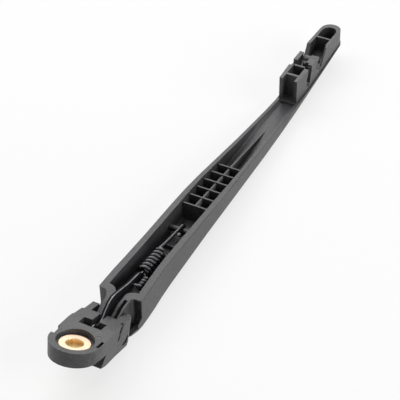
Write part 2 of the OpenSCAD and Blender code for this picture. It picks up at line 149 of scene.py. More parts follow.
class WiperColours(bpy.types.PropertyGroup):
    """sRGB colours of the finishes, some of them painted shade, reflection or highlight."""

    plastic: bpy.props.StringProperty(
        name="Plastic", description="Glass-filled plastic of arm and head", default="#323234"
    )
    plastic_paler: bpy.props.StringProperty(
        name="Plastic, paler", description="Where a plastic's skin is paler", default="#48484A"
    )
    clip: bpy.props.StringProperty(
        name="Clip plastic", description="Plastic of the blade clip", default="#38383A"
    )
    # Painted shade: the parting groove is drawn in a darker plastic to stand for the shade in it
    parting_shade: bpy.props.StringProperty(
        name="Parting line", description="Groove along the arm's rim", default="#161618"
    )
    brass: bpy.props.StringProperty(
        name="Brass", description="Freshly turned brass", default="#EFD0B6"
    )
    # Painted reflection: the bore's brass is brighter and more orange, standing for light thrown
    # between its walls
    brass_bore_reflection: bpy.props.StringProperty(
        name="Brass, deep", description="Brass down in the bore", default="#FFE2AE"
    )
    wire: bpy.props.StringProperty(
        name="Spring wire", description="Phosphated spring wire", default="#5A5A5D"
    )
    strip: bpy.props.StringProperty(
        name="Strip steel", description="Electrocoated strip and pins", default="#161618"
    )
    # Partly painted highlight: bare sheared steel, drawn bright enough to stand for the light along
    # the strip's top edge
    edge: bpy.props.StringProperty(
        name="Sheared edge", description="Burnished band of the strip's edges", default="#727274"
    )
    floor: bpy.props.StringProperty(name="Floor", description="Pale floor", default="#FCFCFC")


def linear(hex_colour, times=1.0):
    """Turns an sRGB hex value into a shader socket's linear colour, so many times as bright."""
    parts = [int(hex_colour[i : i + 2], 16) / 255 for i in (1, 3, 5)]
    parts = [c / 12.92 if c <= 0.04045 else ((c + 0.055) / 1.055) ** 2.4 for c in parts]
    return [min(1.0, c * times) for c in parts] + [1.0]


# Materials


# A colour Mix takes its two colours at these inputs, and gives the mixed one at this output
MIX_A, MIX_B, MIX_OUT = 6, 7, 2
# At scale 1, a Wave texture repeats after this length
WAVE_LENGTH = math.tau / 20


def add(tree, kind, inputs=None, **settings):
    """Adds one shader node with its settings; an input that is a socket is linked to it."""
    made = tree.nodes.new(kind)
    for name, value in settings.items():
        setattr(made, name, value)
    for name, value in (inputs or {}).items():
        if isinstance(value, bpy.types.NodeSocket):
            tree.links.new(value, made.inputs[name])
        else:
            made.inputs[name].default_value = value
    return made


def blank(name):
    """An empty material with its node tree."""
    material = bpy.data.materials.new(name)
    material.use_nodes = True
    material.node_tree.nodes.clear()
    return material, material.node_tree


def dents(tree, place, marks):
    """A mask that is 1 inside each round (middle, radius) mark, both in metres, and 0 outside."""
    mask = None
    for middle, radius in marks:
        away = add(tree, "ShaderNodeVectorMath", {0: place, 1: middle}, operation="DISTANCE")
        inside = add(
            tree,
            "ShaderNodeMapRange",
            {
                "Value": away.outputs["Value"],
                "From Min": radius * 0.8,
                "From Max": radius,
                "To Min": 1.0,
                "To Max": 0.0,
            },
        ).outputs["Result"]
        if mask is None:
            mask = inside
        else:
            both = add(tree, "ShaderNodeMath", {0: mask, 1: inside}, operation="ADD")
            mask = both.outputs[0]
    return mask


def moulded_plastic(name, colour, paler, roughness, marks=()):
    """Glass-filled PBT or POM from a spark-eroded tool: satin black with a fine grain.

    The melt leaves flow marks, the glass leaves pale flecks, and marks are dents in the skin.
    """
    material, tree = blank(name)
    place = add(tree, "ShaderNodeTexCoord").outputs["Object"]
    # The real grain is about 0.1 mm; it is drawn at 1.3 mm so that it shows
    grain = add(
        tree,
        "ShaderNodeTexNoise",
        {"Vector": place, "Scale": 1 / (1.3 * MM), "Detail": 5.0, "Roughness": 0.65},
    ).outputs["Fac"]
    # The melt runs along the arm, so its marks are 30 mm long and 6 mm wide
    along = add(tree, "ShaderNodeMapping", {"Vector": place, "Scale": (0.2, 1.0, 1.0)})
    flow = add(
        tree,
        "ShaderNodeTexNoise",
        {
            "Vector": along.outputs["Vector"],
            "Scale": 1 / (6 * MM),
            "Detail": 3.0,
            "Distortion": 0.6,
        },
    ).outputs["Fac"]
    uneven = add(tree, "ShaderNodeMath", {0: flow, 1: grain}, operation="MULTIPLY")
    tone = add(
        tree,
        "ShaderNodeMapRange",
        {"Value": uneven.outputs[0], "From Min": 0.16, "From Max": 0.36},
    )
    skin = add(
        tree,
        "ShaderNodeMix",
        {"Factor": tone.outputs["Result"], MIX_A: linear(colour), MIX_B: linear(paler)},
        data_type="RGBA",
    )
    # Glass fibres end at the skin as pale flecks; real ones are 0.01 mm and are drawn at 0.25 mm
    spots = add(tree, "ShaderNodeTexVoronoi", {"Vector": place, "Scale": 1 / (1.1 * MM)})
    fleck = add(
        tree,
        "ShaderNodeMapRange",
        {
            "Value": spots.outputs["Distance"],
            "From Min": 0.05,
            "From Max": 0.16,
            "To Min": 0.35,
            "To Max": 0.0,
        },
    )
    flecked = add(
        tree,
        "ShaderNodeMix",
        {
            "Factor": fleck.outputs["Result"],
            MIX_A: skin.outputs[MIX_OUT],
            MIX_B: linear(paler, times=3),
        },
        data_type="RGBA",
    )
    rough = add(
        tree,
        "ShaderNodeMapRange",
        {
            "Value": flow,
            "From Min": 0.3,
            "From Max": 0.7,
            "To Min": roughness - 0.05,
            "To Max": roughness + 0.06,
        },
    )
    height = grain
    if marks:
        sunk = {0: grain, 1: dents(tree, place, marks)}
        height = add(tree, "ShaderNodeMath", sunk, operation="SUBTRACT").outputs[0]
    bump = add(
        tree, "ShaderNodeBump", {"Height": height, "Strength": 0.8, "Distance": 0.3 * MM}
    )
    shader = add(
        tree,
        "ShaderNodeBsdfPrincipled",
        {
            "Base Color": flecked.outputs[MIX_OUT],
            "Roughness": rough.outputs["Result"],
            "Normal": bump.outputs["Normal"],
            "IOR": 1.5,
        },
    )
    add(tree, "ShaderNodeOutputMaterial", {"Surface": shader.outputs["BSDF"]})
    return material


def turned_brass(name, colour, deep):
    """Free-cutting brass: its face turned, with fine rings from the tool, and its bore broached,
    with a painted reflection in the bore.
    """
    material, tree = blank(name)
    place = add(tree, "ShaderNodeTexCoord").outputs["Object"]
    # The bush leans with the head, so its patterns are laid round its own axis
    upright = add(
        tree,
        "ShaderNodeMapping",
        {"Vector": place, "Rotation": Euler((0, FOLD, 0))},
        vector_type="TEXTURE",
    ).outputs["Vector"]
    # Tool rings are 0.05 mm apart; they are drawn 0.3 mm apart so that they show
    rings = add(
        tree,
        "ShaderNodeTexWave",
        {"Vector": upright, "Scale": WAVE_LENGTH / (0.3 * MM), "Distortion": 0.4},
        wave_type="RINGS",
        rings_direction="Z",
    )
    # 1 on the top face and 0 from 0.6 mm below it, down in the bore
    apart = add(tree, "ShaderNodeSeparateXYZ", {"Vector": upright})
    on_top = add(
        tree,
        "ShaderNodeMapRange",
        {
            "Value": apart.outputs["Z"],
            "From Min": (BUSH_TOP - 0.6) * MM,
            "From Max": (BUSH_TOP - 0.1) * MM,
        },
    ).outputs["Result"]
    # Down in the bore the deep colour is a painted reflection of the bore's walls in each other
    mixed = add(
        tree,
        "ShaderNodeMix",
        {"Factor": on_top, MIX_A: linear(deep), MIX_B: linear(colour)},
        data_type="RGBA",
    )
    # The broach scores the bore lengthways, about 0.2 mm wide; its scores are drawn at 1.5 mm
    drawn_out = add(tree, "ShaderNodeMapping", {"Vector": upright, "Scale": (1.0, 1.0, 0.04)})
    scores = add(
        tree,
        "ShaderNodeTexNoise",
        {"Vector": drawn_out.outputs["Vector"], "Scale": 1 / (1.5 * MM), "Detail": 3.0},
    )
    scored = add(
        tree,
        "ShaderNodeMapRange",
        {
            "Value": scores.outputs["Fac"],
            "From Min": 0.4,
            "From Max": 0.6,
            "To Min": 0.74,
            "To Max": 1.0,
        },
    )
    bore_shade = add(
        tree, "ShaderNodeMath", {0: scored.outputs["Result"], 1: on_top}, operation="MAXIMUM"
    )
    # Handling leaves a faint uneven tarnish, a few millimetres across
    patches = add(
        tree, "ShaderNodeTexNoise", {"Vector": place, "Scale": 1 / (2.5 * MM), "Detail": 4.0}
    )
    tarnish = add(
        tree,
        "ShaderNodeMapRange",
        {
            "Value": patches.outputs["Fac"],
            "From Min": 0.3,
            "From Max": 0.7,
            "To Min": 0.88,
            "To Max": 0.97,
        },
    )
    shade = add(
        tree,
        "ShaderNodeMath",
        {0: tarnish.outputs["Result"], 1: bore_shade.outputs[0]},
        operation="MULTIPLY",
    )
    tinted = add(
        tree,
        "ShaderNodeVectorMath",
        {0: mixed.outputs[MIX_OUT], "Scale": shade.outputs[0]},
        operation="SCALE",
    )
    # The bore is broached smooth; the top face is left as it came off the lathe
    rough = add(tree, "ShaderNodeMapRange", {"Value": on_top, "To Min": 0.3, "To Max": 0.6})
    bump = add(
        tree,
        "ShaderNodeBump",
        {"Height": rings.outputs["Fac"], "Strength": 0.1, "Distance": 0.01 * MM},
    )
    shader = add(
        tree,
        "ShaderNodeBsdfPrincipled",
        {
            "Base Color": tinted.outputs["Vector"],
            "Metallic": 1.0,
            "Roughness": rough.outputs["Result"],
            "Normal": bump.outputs["Normal"],
        },
    )
    add(tree, "ShaderNodeOutputMaterial", {"Surface": shader.outputs["BSDF"]})
    return material


def sheared_edge_highlight(name, burnished, torn):
    """The cut edge of rolled strip: a bright burnished band on one side, the rest torn and dull;
    the band is bare steel and partly a painted highlight.
    """
    material, tree = blank(name)
    place = add(tree, "ShaderNodeTexCoord").outputs["Object"]
    # The punch burnishes about a third of the 1.5 mm thickness
    apart = add(tree, "ShaderNodeSeparateXYZ", {"Vector": place})
    band = add(
        tree,
        "ShaderNodeMapRange",
        {
            "Value": apart.outputs["Y"],
            "From Min": -0.3 * MM,
            "From Max": -0.1 * MM,
            "To Min": 1.0,
            "To Max": 0.0,
        },
    )
    # Nicks are about 0.3 mm long; they are drawn at 2.2 mm so that they show
    nicks = add(
        tree, "ShaderNodeTexNoise", {"Vector": place, "Scale": 1 / (2.2 * MM), "Detail": 4.0}
    ).outputs["Fac"]
    worn = add(
        tree,
        "ShaderNodeMapRange",
        {"Value": nicks, "From Min": 0.25, "From Max": 0.6, "To Min": 0.45},
    )
    bright = add(
        tree,
        "ShaderNodeMath",
        {0: band.outputs["Result"], 1: worn.outputs["Result"]},
        operation="MULTIPLY",
    ).outputs[0]
    mixed = add(
        tree,
        "ShaderNodeMix",
        {"Factor": bright, MIX_A: linear(torn), MIX_B: linear(burnished)},
        data_type="RGBA",
    )
    rough = add(tree, "ShaderNodeMapRange", {"Value": bright, "To Min": 0.6, "To Max": 0.36})
    bump = add(
        tree, "ShaderNodeBump", {"Height": nicks, "Strength": 0.2, "Distance": 0.05 * MM}
    )
    shader = add(
        tree,
        "ShaderNodeBsdfPrincipled",
        {
            "Base Color": mixed.outputs[MIX_OUT],
            "Metallic": 1.0,
            "Roughness": rough.outputs["Result"],
            "Normal": bump.outputs["Normal"],
        },
    )
    add(tree, "ShaderNodeOutputMaterial", {"Surface": shader.outputs["BSDF"]})
    return material


def electrocoated_steel(name, colour, roughness):
    """Steel strip and pins in black dip paint: satin, evenly thin, a little thicker in waves."""
    material, tree = blank(name)
    place = add(tree, "ShaderNodeTexCoord").outputs["Object"]
    # Paint levels out into waves about 1.5 mm long
    waves = add(
        tree, "ShaderNodeTexNoise", {"Vector": place, "Scale": 1 / (1.5 * MM), "Detail": 2.0}
    ).outputs["Fac"]
    rough = add(
        tree,
        "ShaderNodeMapRange",
        {
            "Value": waves,
            "From Min": 0.3,
            "From Max": 0.7,
            "To Min": roughness - 0.05,
            "To Max": roughness + 0.08,
        },
    )
    # Where the coat is thin, more of the steel shows through
    mixed = add(
        tree,
        "ShaderNodeMix",
        {"Factor": waves, MIX_A: linear(colour), MIX_B: linear(colour, times=1.6)},
        data_type="RGBA",
    )
    bump = add(
        tree, "ShaderNodeBump", {"Height": waves, "Strength": 0.15, "Distance": 0.05 * MM}
    )
    shader = add(
        tree,
        "ShaderNodeBsdfPrincipled",
        {
            "Base Color": mixed.outputs[MIX_OUT],
            "Roughness": rough.outputs["Result"],
            "Normal": bump.outputs["Normal"],
            "IOR": 1.5,
        },
    )
    add(tree, "ShaderNodeOutputMaterial", {"Surface": shader.outputs["BSDF"]})
    return material


def phosphated_steel(name, colour, roughness):
    """Steel with a dark phosphate coat: grey crystals on metal, rubbed brighter here and there."""
    material, tree = blank(name)
    place = add(tree, "ShaderNodeTexCoord").outputs["Object"]
    # The crystals are about 0.02 mm; their mottle is drawn at 0.9 mm so that it shows
    mottle = add(
        tree, "ShaderNodeTexNoise", {"Vector": place, "Scale": 1 / (0.9 * MM), "Detail": 5.0}
    ).outputs["Fac"]
    rough = add(
        tree,
        "ShaderNodeMapRange",
        {
            "Value": mottle,
            "From Min": 0.3,
            "From Max": 0.7,
            "To Min": roughness - 0.08,
            "To Max": roughness + 0.1,
        },
    )
    rubbed = add(
        tree, "ShaderNodeMapRange", {"Value": mottle, "From Min": 0.35, "From Max": 0.6}
    )
    mixed = add(
        tree,
        "ShaderNodeMix",
        {
            "Factor": rubbed.outputs["Result"],
            MIX_A: linear(colour, times=0.45),
            MIX_B: linear(colour),
        },
        data_type="RGBA",
    )
    bump = add(
        tree, "ShaderNodeBump", {"Height": mottle, "Strength": 0.2, "Distance": 0.02 * MM}
    )
    shader = add(
        tree,
        "ShaderNodeBsdfPrincipled",
        {
            "Base Color": mixed.outputs[MIX_OUT],
            "Metallic": 1.0,
            "Roughness": rough.outputs["Result"],
            "Normal": bump.outputs["Normal"],
        },
    )
    add(tree, "ShaderNodeOutputMaterial", {"Surface": shader.outputs["BSDF"]})
    return material


# Mesh helpers


def select_only(piece):
    """Selects one object alone, and makes it the active one."""
    bpy.ops.object.select_all(action="DESELECT")
    piece.select_set(True)
    bpy.context.view_layer.objects.active = piece


def apply_modifier(piece, kind, **settings):
    """Adds a modifier to a piece and applies it."""
    select_only(piece)
    bpy.ops.object.modifier_add(type=kind)
    modifier = piece.modifiers[-1]
    for name, value in settings.items():
        setattr(modifier, name, value)
    bpy.ops.object.modifier_apply(modifier=modifier.name)


def copy_of_node(node, name):
    """A piece with a CAD node's own form, its loose triangles merged and its flat faces joined."""
    piece = bpy.data.objects.new(name, frame["nodes"][node].data.copy())
    piece.data.name = name
    piece.data.materials.clear()
    bpy.context.scene.collection.objects.link(piece)
    select_only(piece)
    bpy.ops.object.mode_set(mode="EDIT")
    bpy.ops.mesh.select_all(action="SELECT")
    bpy.ops.mesh.remove_doubles(threshold=0.004 * MM)
    bpy.ops.mesh.dissolve_limited(angle_limit=math.radians(0.8))
    bpy.ops.object.mode_set(mode="OBJECT")
    return piece


def side_block(outline, y_from, y_to, to_frame):
    """A plate with an outline of (along, up) points, between two distances across, all in mm."""
    bpy.ops.object.select_all(action="DESELECT")
    bpy.ops.mesh.primitive_circle_add(vertices=len(outline), radius=MM, fill_type="NGON")
    block = bpy.context.active_object
    for corner, (along, up) in zip(block.data.vertices, outline):
        corner.co = (along * MM, y_from * MM, up * MM)
    thickness = (y_to - y_from) * MM
    bpy.ops.object.mode_set(mode="EDIT")
    bpy.ops.mesh.select_all(action="SELECT")
    bpy.ops.mesh.extrude_region_move(TRANSFORM_OT_translate={"value": (0, thickness, 0)})
    bpy.ops.mesh.select_all(action="SELECT")
    bpy.ops.mesh.normals_make_consistent(inside=False)
    bpy.ops.object.mode_set(mode="OBJECT")
    block.data.transform(to_frame)
    return block


def join_solid(piece, block, operation="DIFFERENCE"):
    """Cuts a block out of a piece, or welds it on, and clears the block away."""
    apply_modifier(piece, "BOOLEAN", object=block, operation=operation, solver="EXACT")
    bpy.data.objects.remove(block)


def soften(piece, radius):
    """Rounds a piece's hard edges, as a mould does, and shades the rest smooth."""
    apply_modifier(
        piece,
        "BEVEL",
        width=radius,
        segments=2,
        limit_method="ANGLE",
        angle_limit=math.radians(28),
        use_clamp_overlap=True,
        miter_outer="MITER_ARC",
    )
    select_only(piece)
    bpy.ops.object.shade_smooth_by_angle(angle=math.radians(35))
    apply_modifier(piece, "WEIGHTED_NORMAL", keep_sharp=True)


def hand_over(piece, material, body, node):
    """Gives a finished piece its material and its body, and hides the CAD node it stands for."""
    piece.data.materials.clear()
    piece.data.materials.append(material)
    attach(piece, body)
    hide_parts(node)


def middle_of(node):
    """The middle of a CAD node's box."""
    low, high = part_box(node)
    return (Vector(low) + Vector(high)) / 2


def swept_wire(name, points, radius):
    """A round wire along the given points, drawn as a curve and made a closed mesh."""
    bpy.ops.object.select_all(action="DESELECT")
    bpy.ops.curve.primitive_nurbs_path_add(location=(0, 0, 0))
    piece = bpy.context.active_object
    piece.name = name
    curve = piece.data
    curve.splines.clear()
    line = curve.splines.new("NURBS")
    line.points.add(len(points) - 1)
    for corner, place in zip(line.points, points):
        corner.co = (*place, 1.0)
    line.order_u = 3
    line.use_endpoint_u = True
    line.resolution_u = 2
    curve.dimensions = "3D"
    curve.twist_mode = "MINIMUM"
    curve.bevel_depth = radius
    curve.bevel_resolution = 4
    curve.use_fill_caps = True
    select_only(piece)
    bpy.ops.object.convert(target="MESH")
    piece = bpy.context.active_object
    piece.data.name = name
    bpy.ops.object.mode_set(mode="EDIT")
    bpy.ops.mesh.select_all(action="SELECT")
    bpy.ops.mesh.remove_doubles(threshold=0.001 * MM)
    bpy.ops.mesh.normals_make_consistent(inside=False)
    bpy.ops.object.mode_set(mode="OBJECT")
    bpy.ops.object.shade_smooth_by_angle(angle=math.radians(50))
    return piece


def turned(name, outline, steps):
    """Spins an outline of (radius, height) points, in mm, round Z into a closed turned piece."""
    bpy.ops.object.select_all(action="DESELECT")
    first_radius, first_height = outline[0]
    bpy.ops.mesh.primitive_circle_add(vertices=steps, radius=first_radius * MM, location=(0, 0, 0))
    piece = bpy.context.active_object
    piece.name = name
    piece.data.name = name
    bpy.ops.object.mode_set(mode="EDIT")
    bpy.ops.mesh.select_all(action="SELECT")
    bpy.ops.transform.translate(value=(0, 0, first_height * MM))
    for (r0, z0), (r1, z1) in zip(outline, outline[1:] + outline[:1]):
        rise = (z1 - z0) * MM
        bpy.ops.mesh.extrude_edges_move(TRANSFORM_OT_translate={"value": (0, 0, rise)})
        bpy.ops.transform.resize(value=(r1 / r0, r1 / r0, 1), center_override=(0, 0, 0))
    bpy.ops.mesh.select_all(action="SELECT")
    bpy.ops.mesh.remove_doubles(threshold=0.002 * MM)
    bpy.ops.mesh.normals_make_consistent(inside=False)
    bpy.ops.object.mode_set(mode="OBJECT")
    return piece


# Operators


class WIPER_OT_arm(bpy.types.Operator):
    """Channel arm with its ribs, end walls and ears"""

    bl_idname = "wiper.arm"
    bl_label = "Arm"

    def execute(self, context):
        sizes, colours = context.scene.wiper_sizes, context.scene.wiper_colours
        piece = copy_of_node("arm_channel", "arm_shell")
        self.double_ear(piece)
        self.deep_groove(piece)
        soften(piece, sizes.arm_edge)
        skin = moulded_plastic("moulded_pbt_arm", colours.plastic, colours.plastic_paler, 0.44)
        hand_over(piece, skin, "arm", "arm_channel")
        # The groove's darker plastic is painted shade
        dark = moulded_plastic("moulded_pbt_parting_line_shade", colours.parting_shade, colours.parting_shade, 0.6)
        self.parting_line(piece, dark)
        return {"FINISHED"}

    def double_ear(self, piece):
        """Adds a thin outer wall beside the near ear, and sinks the ear's top next to it."""
        outside, between, inside = -6.8, -5.8, -4.0
        wall = [(22.6, -9.6), (26.5, -8.3), (30.0, -6.7), (34.4, -4.95), (41.2, -4.75)]
        wall += [(41.2, -19.4), (30.0, -19.2), (28.6, -13.0), (26.0, -11.9), (22.2, -11.9)]
        join_solid(piece, side_block(wall, outside, between, ARM_TO_FRAME), "UNION")
        sunk = [(18.0, -13.0), (18.0, -7.5), (26.3, -6.5), (34.0, -3.0), (39.6, -3.0)]
        sunk += [(39.6, -8.5), (30.0, -10.0), (26.2, -11.2), (22.5, -11.6), (20.8, -13.0)]
        join_solid(piece, side_block(sunk, between, inside, ARM_TO_FRAME))

    def deep_groove(self, piece):
        """Cuts the deep groove between the near ear and the side wall, under the rim."""
        side_wall, ear = -11.4, -7.5
        groove = [(33, -5.4), (44.6, -5.4), (45, -6.2), (45, -17.6), (43, -20.4)]
        groove += [(38.6, -20.9), (33, -20.6)]
        join_solid(piece, side_block(groove, side_wall, ear, ARM_TO_FRAME))

    def parting_line(self, piece, dark):
        """Sinks a groove along the rim's outer rounding, where the two halves of the tool met, and
        gives its faces a darker plastic as painted shade.
        """
        rim_start, depth = 46 * MM, 0.3 * MM
        piece.data.materials.append(dark)
        bpy.ops.object.mode_set(mode="EDIT")
        bpy.ops.mesh.select_mode(type="FACE")
        bpy.ops.mesh.select_all(action="DESELECT")
        bpy.ops.object.mode_set(mode="OBJECT")
        for face in piece.data.polygons:
            # The lower row of the rounding looks outwards and a little up
            lower_row = 0.75 < abs(face.normal.y) < 0.97 and 0.2 < face.normal.z < 0.6
            outer = face.normal.y * face.center.y > 0
            face.select = lower_row and outer and face.center.x > rim_start
            face.material_index = 1 if face.select else 0
        bpy.ops.object.mode_set(mode="EDIT")
        bpy.ops.mesh.extrude_region_shrink_fatten(TRANSFORM_OT_shrink_fatten={"value": -depth})
        bpy.ops.object.mode_set(mode="OBJECT")


class WIPER_OT_clip(bpy.types.Operator):
    """Blade clip with its cells, sprung finger and pin slot"""

    bl_idname = "wiper.clip"
    bl_label = "Blade clip"

    def execute(self, context):
        sizes, colours = context.scene.wiper_sizes, context.scene.wiper_colours
        piece = copy_of_node("blade_clip", "blade_clip_shell")
        self.thin_wall(piece)
        self.finger_slit(piece)
        self.finger_boss(piece)
        soften(piece, sizes.clip_edge)
        skin = moulded_plastic("moulded_pom_clip", colours.clip, colours.plastic_paler, 0.37)
        hand_over(piece, skin, "arm", "blade_clip")
        return {"FINISHED"}

    def thin_wall(self, piece):
        """Thins the near wall to 1 mm, from inside, where it comes down to the pin's slot."""
        thinned_face, inner_face = -5.2, -3.5
        hollow = [(3.2, -1), (12.6, -1), (12.6, -6), (10.5, -11.5), (6.5, -13.8), (3.2, -13.8)]
        join_solid(piece, side_block(hollow, thinned_face, inner_face, CLIP_TO_FRAME))

    def finger_slit(self, piece):
        """Opens the drop-shaped slit in the near wall, beside the sprung finger."""
        outside, inside = -8, -3.3
        slit = [(-15.3, -2), (-12.9, -2), (-12.7, -8), (-12.2, -12.6), (-12.8, -14.4)]
        slit += [(-14.1, -15.1), (-16.4, -14.9), (-17.5, -12.8), (-17.0, -9.4), (-15.6, -5.6)]
        join_solid(piece, side_block(slit, outside, inside, CLIP_TO_FRAME))

    def finger_boss(self, piece):
        """Puts a round-headed boss under the finger's knob: a ball, its lower half drawn down."""
        radius, drawn_down = 1.75 * MM, 5 * MM
        middle = Vector((-6.3, -0.3, -6.8)) * MM
        bpy.ops.object.select_all(action="DESELECT")
        bpy.ops.mesh.primitive_uv_sphere_add(
            segments=32, ring_count=16, radius=radius, location=middle
        )
        boss = bpy.context.active_object
        for corner in boss.data.vertices:
            if corner.co.z < -0.1 * MM:
                corner.co.z -= drawn_down
        bpy.ops.object.transform_apply(location=True)
        boss.data.transform(CLIP_TO_FRAME)
        join_solid(piece, boss, "UNION")


class WIPER_OT_head(bpy.types.Operator):
    """Pivot head with its ring, pockets and cheeks"""

    bl_idname = "wiper.head"
    bl_label = "Pivot head"

    def execute(self, context):
        sizes, colours = context.scene.wiper_sizes, context.scene.wiper_colours
        piece = copy_of_node("pivot_head", "pivot_head_shell")
        self.slit_cheek(piece)
        soften(piece, sizes.head_edge)
        skin = moulded_plastic(
            "moulded_pbt_head", colours.plastic, colours.plastic_paler, 0.39, self.marks()
        )
        hand_over(piece, skin, "head", "pivot_head")
        return {"FINISHED"}

    def marks(self):
        """Where an ejector pin and a knock have left round dents: middle and radius, in metres."""
        ejector_pin, knock = Vector((7.5, -8.25, 2.5)), Vector((-11.9, -0.5, 1.6))
        return [
            (HEAD_TO_FRAME @ (ejector_pin * MM), 1.7 * MM),
            (HEAD_TO_FRAME @ (knock * MM), 1.3 * MM),
        ]

    def slit_cheek(self, piece):
        """Deepens the slits round the hinge boss on the near cheek."""
        outside, slit_floor = -13, -10.7
        long_slit = [(28.9, 5.7), (26.6, 5.5), (23.8, 3.9), (21.9, 1.5), (21.2, -1.1)]
        long_slit += [(22.5, -1.0), (24.1, 1.0), (25.7, 2.8), (27.5, 4.1), (28.9, 4.2)]
        short_slit = [(21.9, -1.1), (23.2, -1.5), (21.7, -4.2), (20.4, -3.7)]
        low_slit = [(30.6, -4.6), (31.4, -5.7), (29.4, -8.6), (27.0, -9.4), (26.0, -8.2)]
        low_slit += [(28.4, -6.9)]
        for slit in (long_slit, short_slit, low_slit):
            join_solid(piece, side_block(slit, outside, slit_floor, HEAD_TO_FRAME))


class WIPER_OT_bush(bpy.types.Operator):
    """Brass bush, turned with a chamfered rim and a serrated taper bore"""

    bl_idname = "wiper.bush"
    bl_label = "Spindle bush"

    def execute(self, context):
        sizes, colours = context.scene.wiper_sizes, context.scene.wiper_colours
        piece = self.turned_bush(sizes)
        piece.data.transform(HEAD_TO_FRAME)
        apply_modifier(
            piece,
            "BEVEL",
            width=0.06 * MM,
            segments=1,
            limit_method="ANGLE",
            angle_limit=math.radians(50),
        )
        bpy.ops.object.shade_smooth_by_angle(angle=math.radians(32))
        metal = turned_brass("turned_brass", colours.brass, colours.brass_bore_reflection)
        hand_over(piece, metal, "head", "spindle_bush")
        return {"FINISHED"}

    def turned_bush(self, sizes):
        """Turns the bush with its taper mouth, and presses the teeth into its bore."""
        rim, bottom = sizes.bush_radius / MM, -sizes.bush_depth / MM
        bore, mouth, chamfer = 3.95, 4.5, 0.25
        outline = [
            (rim - chamfer, 0.0),
            (rim, -chamfer),
            (rim, bottom),
            (bore, bottom),
            (bore, 0.75 * bottom),
            (bore + 0.2, -0.5),
            (mouth - 0.08, -0.2),
            (mouth, 0.0),
        ]
        teeth, tooth_height = 40, 0.26 * MM
        # Corners nearer to the axis than this are toothed; the mouth above them stays round
        toothed = 4.3 * MM
        piece = turned("spindle_bush_brass", outline, 2 * teeth)
        # Every second corner round the bore is pressed outwards, which leaves the teeth
        for corner in piece.data.vertices:
            across = corner.co.xy.length
            turn = round(math.atan2(corner.co.y, corner.co.x) / math.tau * 2 * teeth)
            if across < toothed and turn % 2:
                corner.co.xy *= (across + tooth_height) / across
        return piece


class WIPER_OT_steel(bpy.types.Operator):
    """Link strip, its pin, the spring's anchor and the hinge pins"""

    bl_idname = "wiper.steel"
    bl_label = "Link and pins"

    def execute(self, context):
        sizes, colours = context.scene.wiper_sizes, context.scene.wiper_colours
        painted = electrocoated_steel("electrocoated_steel", colours.strip, 0.34)
        for node, body in (
            ("spring_link", "link"),
            ("link_pin", "head"),
            ("hinge_pin_left", "head"),
            ("hinge_pin_right", "head"),
            ("spring_anchor", "arm"),
        ):
            piece = copy_of_node(node, node + "_steel")
            soften(piece, sizes.steel_edge)
            hand_over(piece, painted, body, node)
            if node == "spring_link":
                # The bright band on the strip's edges is bare steel and partly a painted highlight
                bare = sheared_edge_highlight("sheared_steel_edge_highlight", colours.edge, colours.strip)
                self.bare_highlit_edges(piece, bare)
        return {"FINISHED"}

    def bare_highlit_edges(self, piece, bare):
        """Gives the strip's sheared edges, which face along the arm or upwards, bare metal that is
        partly a painted highlight.
        """
        piece.data.materials.append(bare)
        for face in piece.data.polygons:
            face.material_index = 1 if abs(face.normal.y) < 0.5 else 0


class WIPER_OT_spring(bpy.types.Operator):
    """Tension spring: round wire from the hook in the strip to the anchor"""

    bl_idname = "wiper.spring"
    bl_label = "Tension spring"

    def execute(self, context):
        sizes, colours = context.scene.wiper_sizes, context.scene.wiper_colours
        piece = swept_wire("tension_spring_wire", self.route(sizes), sizes.wire_radius)
        metal = phosphated_steel("phosphated_spring_wire", colours.wire, 0.27)
        hand_over(piece, metal, "arm", "tension_spring")
        return {"FINISHED"}

    def route(self, sizes):
        """Points of the wire's middle, in metres, from the hook to the loop round the anchor.

        On the way a point is along the line of pull, across it and above it, in millimetres.
        """
        start, end = middle_of("link_pin"), middle_of("spring_anchor")
        pull = end - start
        hook_along, hook_up = 38.6, 1.2
        # The narrow turns lie beside the strip, a little lower than the line of pull
        narrow, narrow_pitch, narrow_side, narrow_up = 1.5, 2.25, -3.5, -0.4
        narrow_from, narrow_to = 75, 3 * 360 + 195
        narrow_start = hook_along + 0.5
        narrow_end = narrow_start + (narrow_to - narrow_from) / 360 * narrow_pitch
        coil, coil_pitch, coil_turns = sizes.coil_radius / MM, 2.75, 7
        coil_from, coil_to = 270, coil_turns * 360 + 120
        coil_start = narrow_end + 3.2
        coil_end = coil_start + coil_turns * coil_pitch
        points = [
            (hook_along, 2.0, hook_up),
            (hook_along, 0.4, hook_up),
            (hook_along, -1.4, hook_up),
            (hook_along + 0.2, -2.3, narrow_up + narrow * 0.98),
        ]
        for along, side, up in self.winding(narrow_from, narrow_to, narrow_pitch, narrow):
            points.append((narrow_start + along, narrow_side + side, narrow_up + up))
        points += [
            (narrow_end + 0.8, -4.5, -2.4),
            (narrow_end + 1.8, -3.1, -3.2),
            (narrow_end + 2.6, -1.4, -3.5),
        ]
        for along, side, up in self.winding(coil_from, coil_to, coil_pitch, coil):
            points.append((coil_start + along, side, up))
        points += [(coil_end - 0.7, 1.2, coil + 0.1), (coil_end + 0.9, 0.2, coil - 0.1)]
        anchor_low, anchor_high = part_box("spring_anchor")
        play = 0.15
        loop = ((anchor_high.z - anchor_low.z) / 2 + sizes.wire_radius) / MM + play
        for degrees in range(100, -171, -15):
            angle = math.radians(degrees)
            points.append(
                (pull.length / MM + loop * math.cos(angle), 0.0, loop * math.sin(angle))
            )
        slope = math.atan2(pull.z, pull.x)
        ahead = Vector((math.cos(slope), 0, math.sin(slope)))
        above = Vector((-math.sin(slope), 0, math.cos(slope)))
        aside = Vector((0, 1, 0))
        return [start + (ahead * s + aside * y + above * h) * MM for s, y, h in points]

    def winding(self, turn_from, turn_to, pitch, radius):
        """Points of a winding round its own axis, 15 degrees apart: along, across and above it."""
        for degrees in range(turn_from, turn_to + 1, 15):
            angle = math.radians(degrees)
            along = (degrees - turn_from) / 360 * pitch
            yield along, radius * math.cos(angle), radius * math.sin(angle)


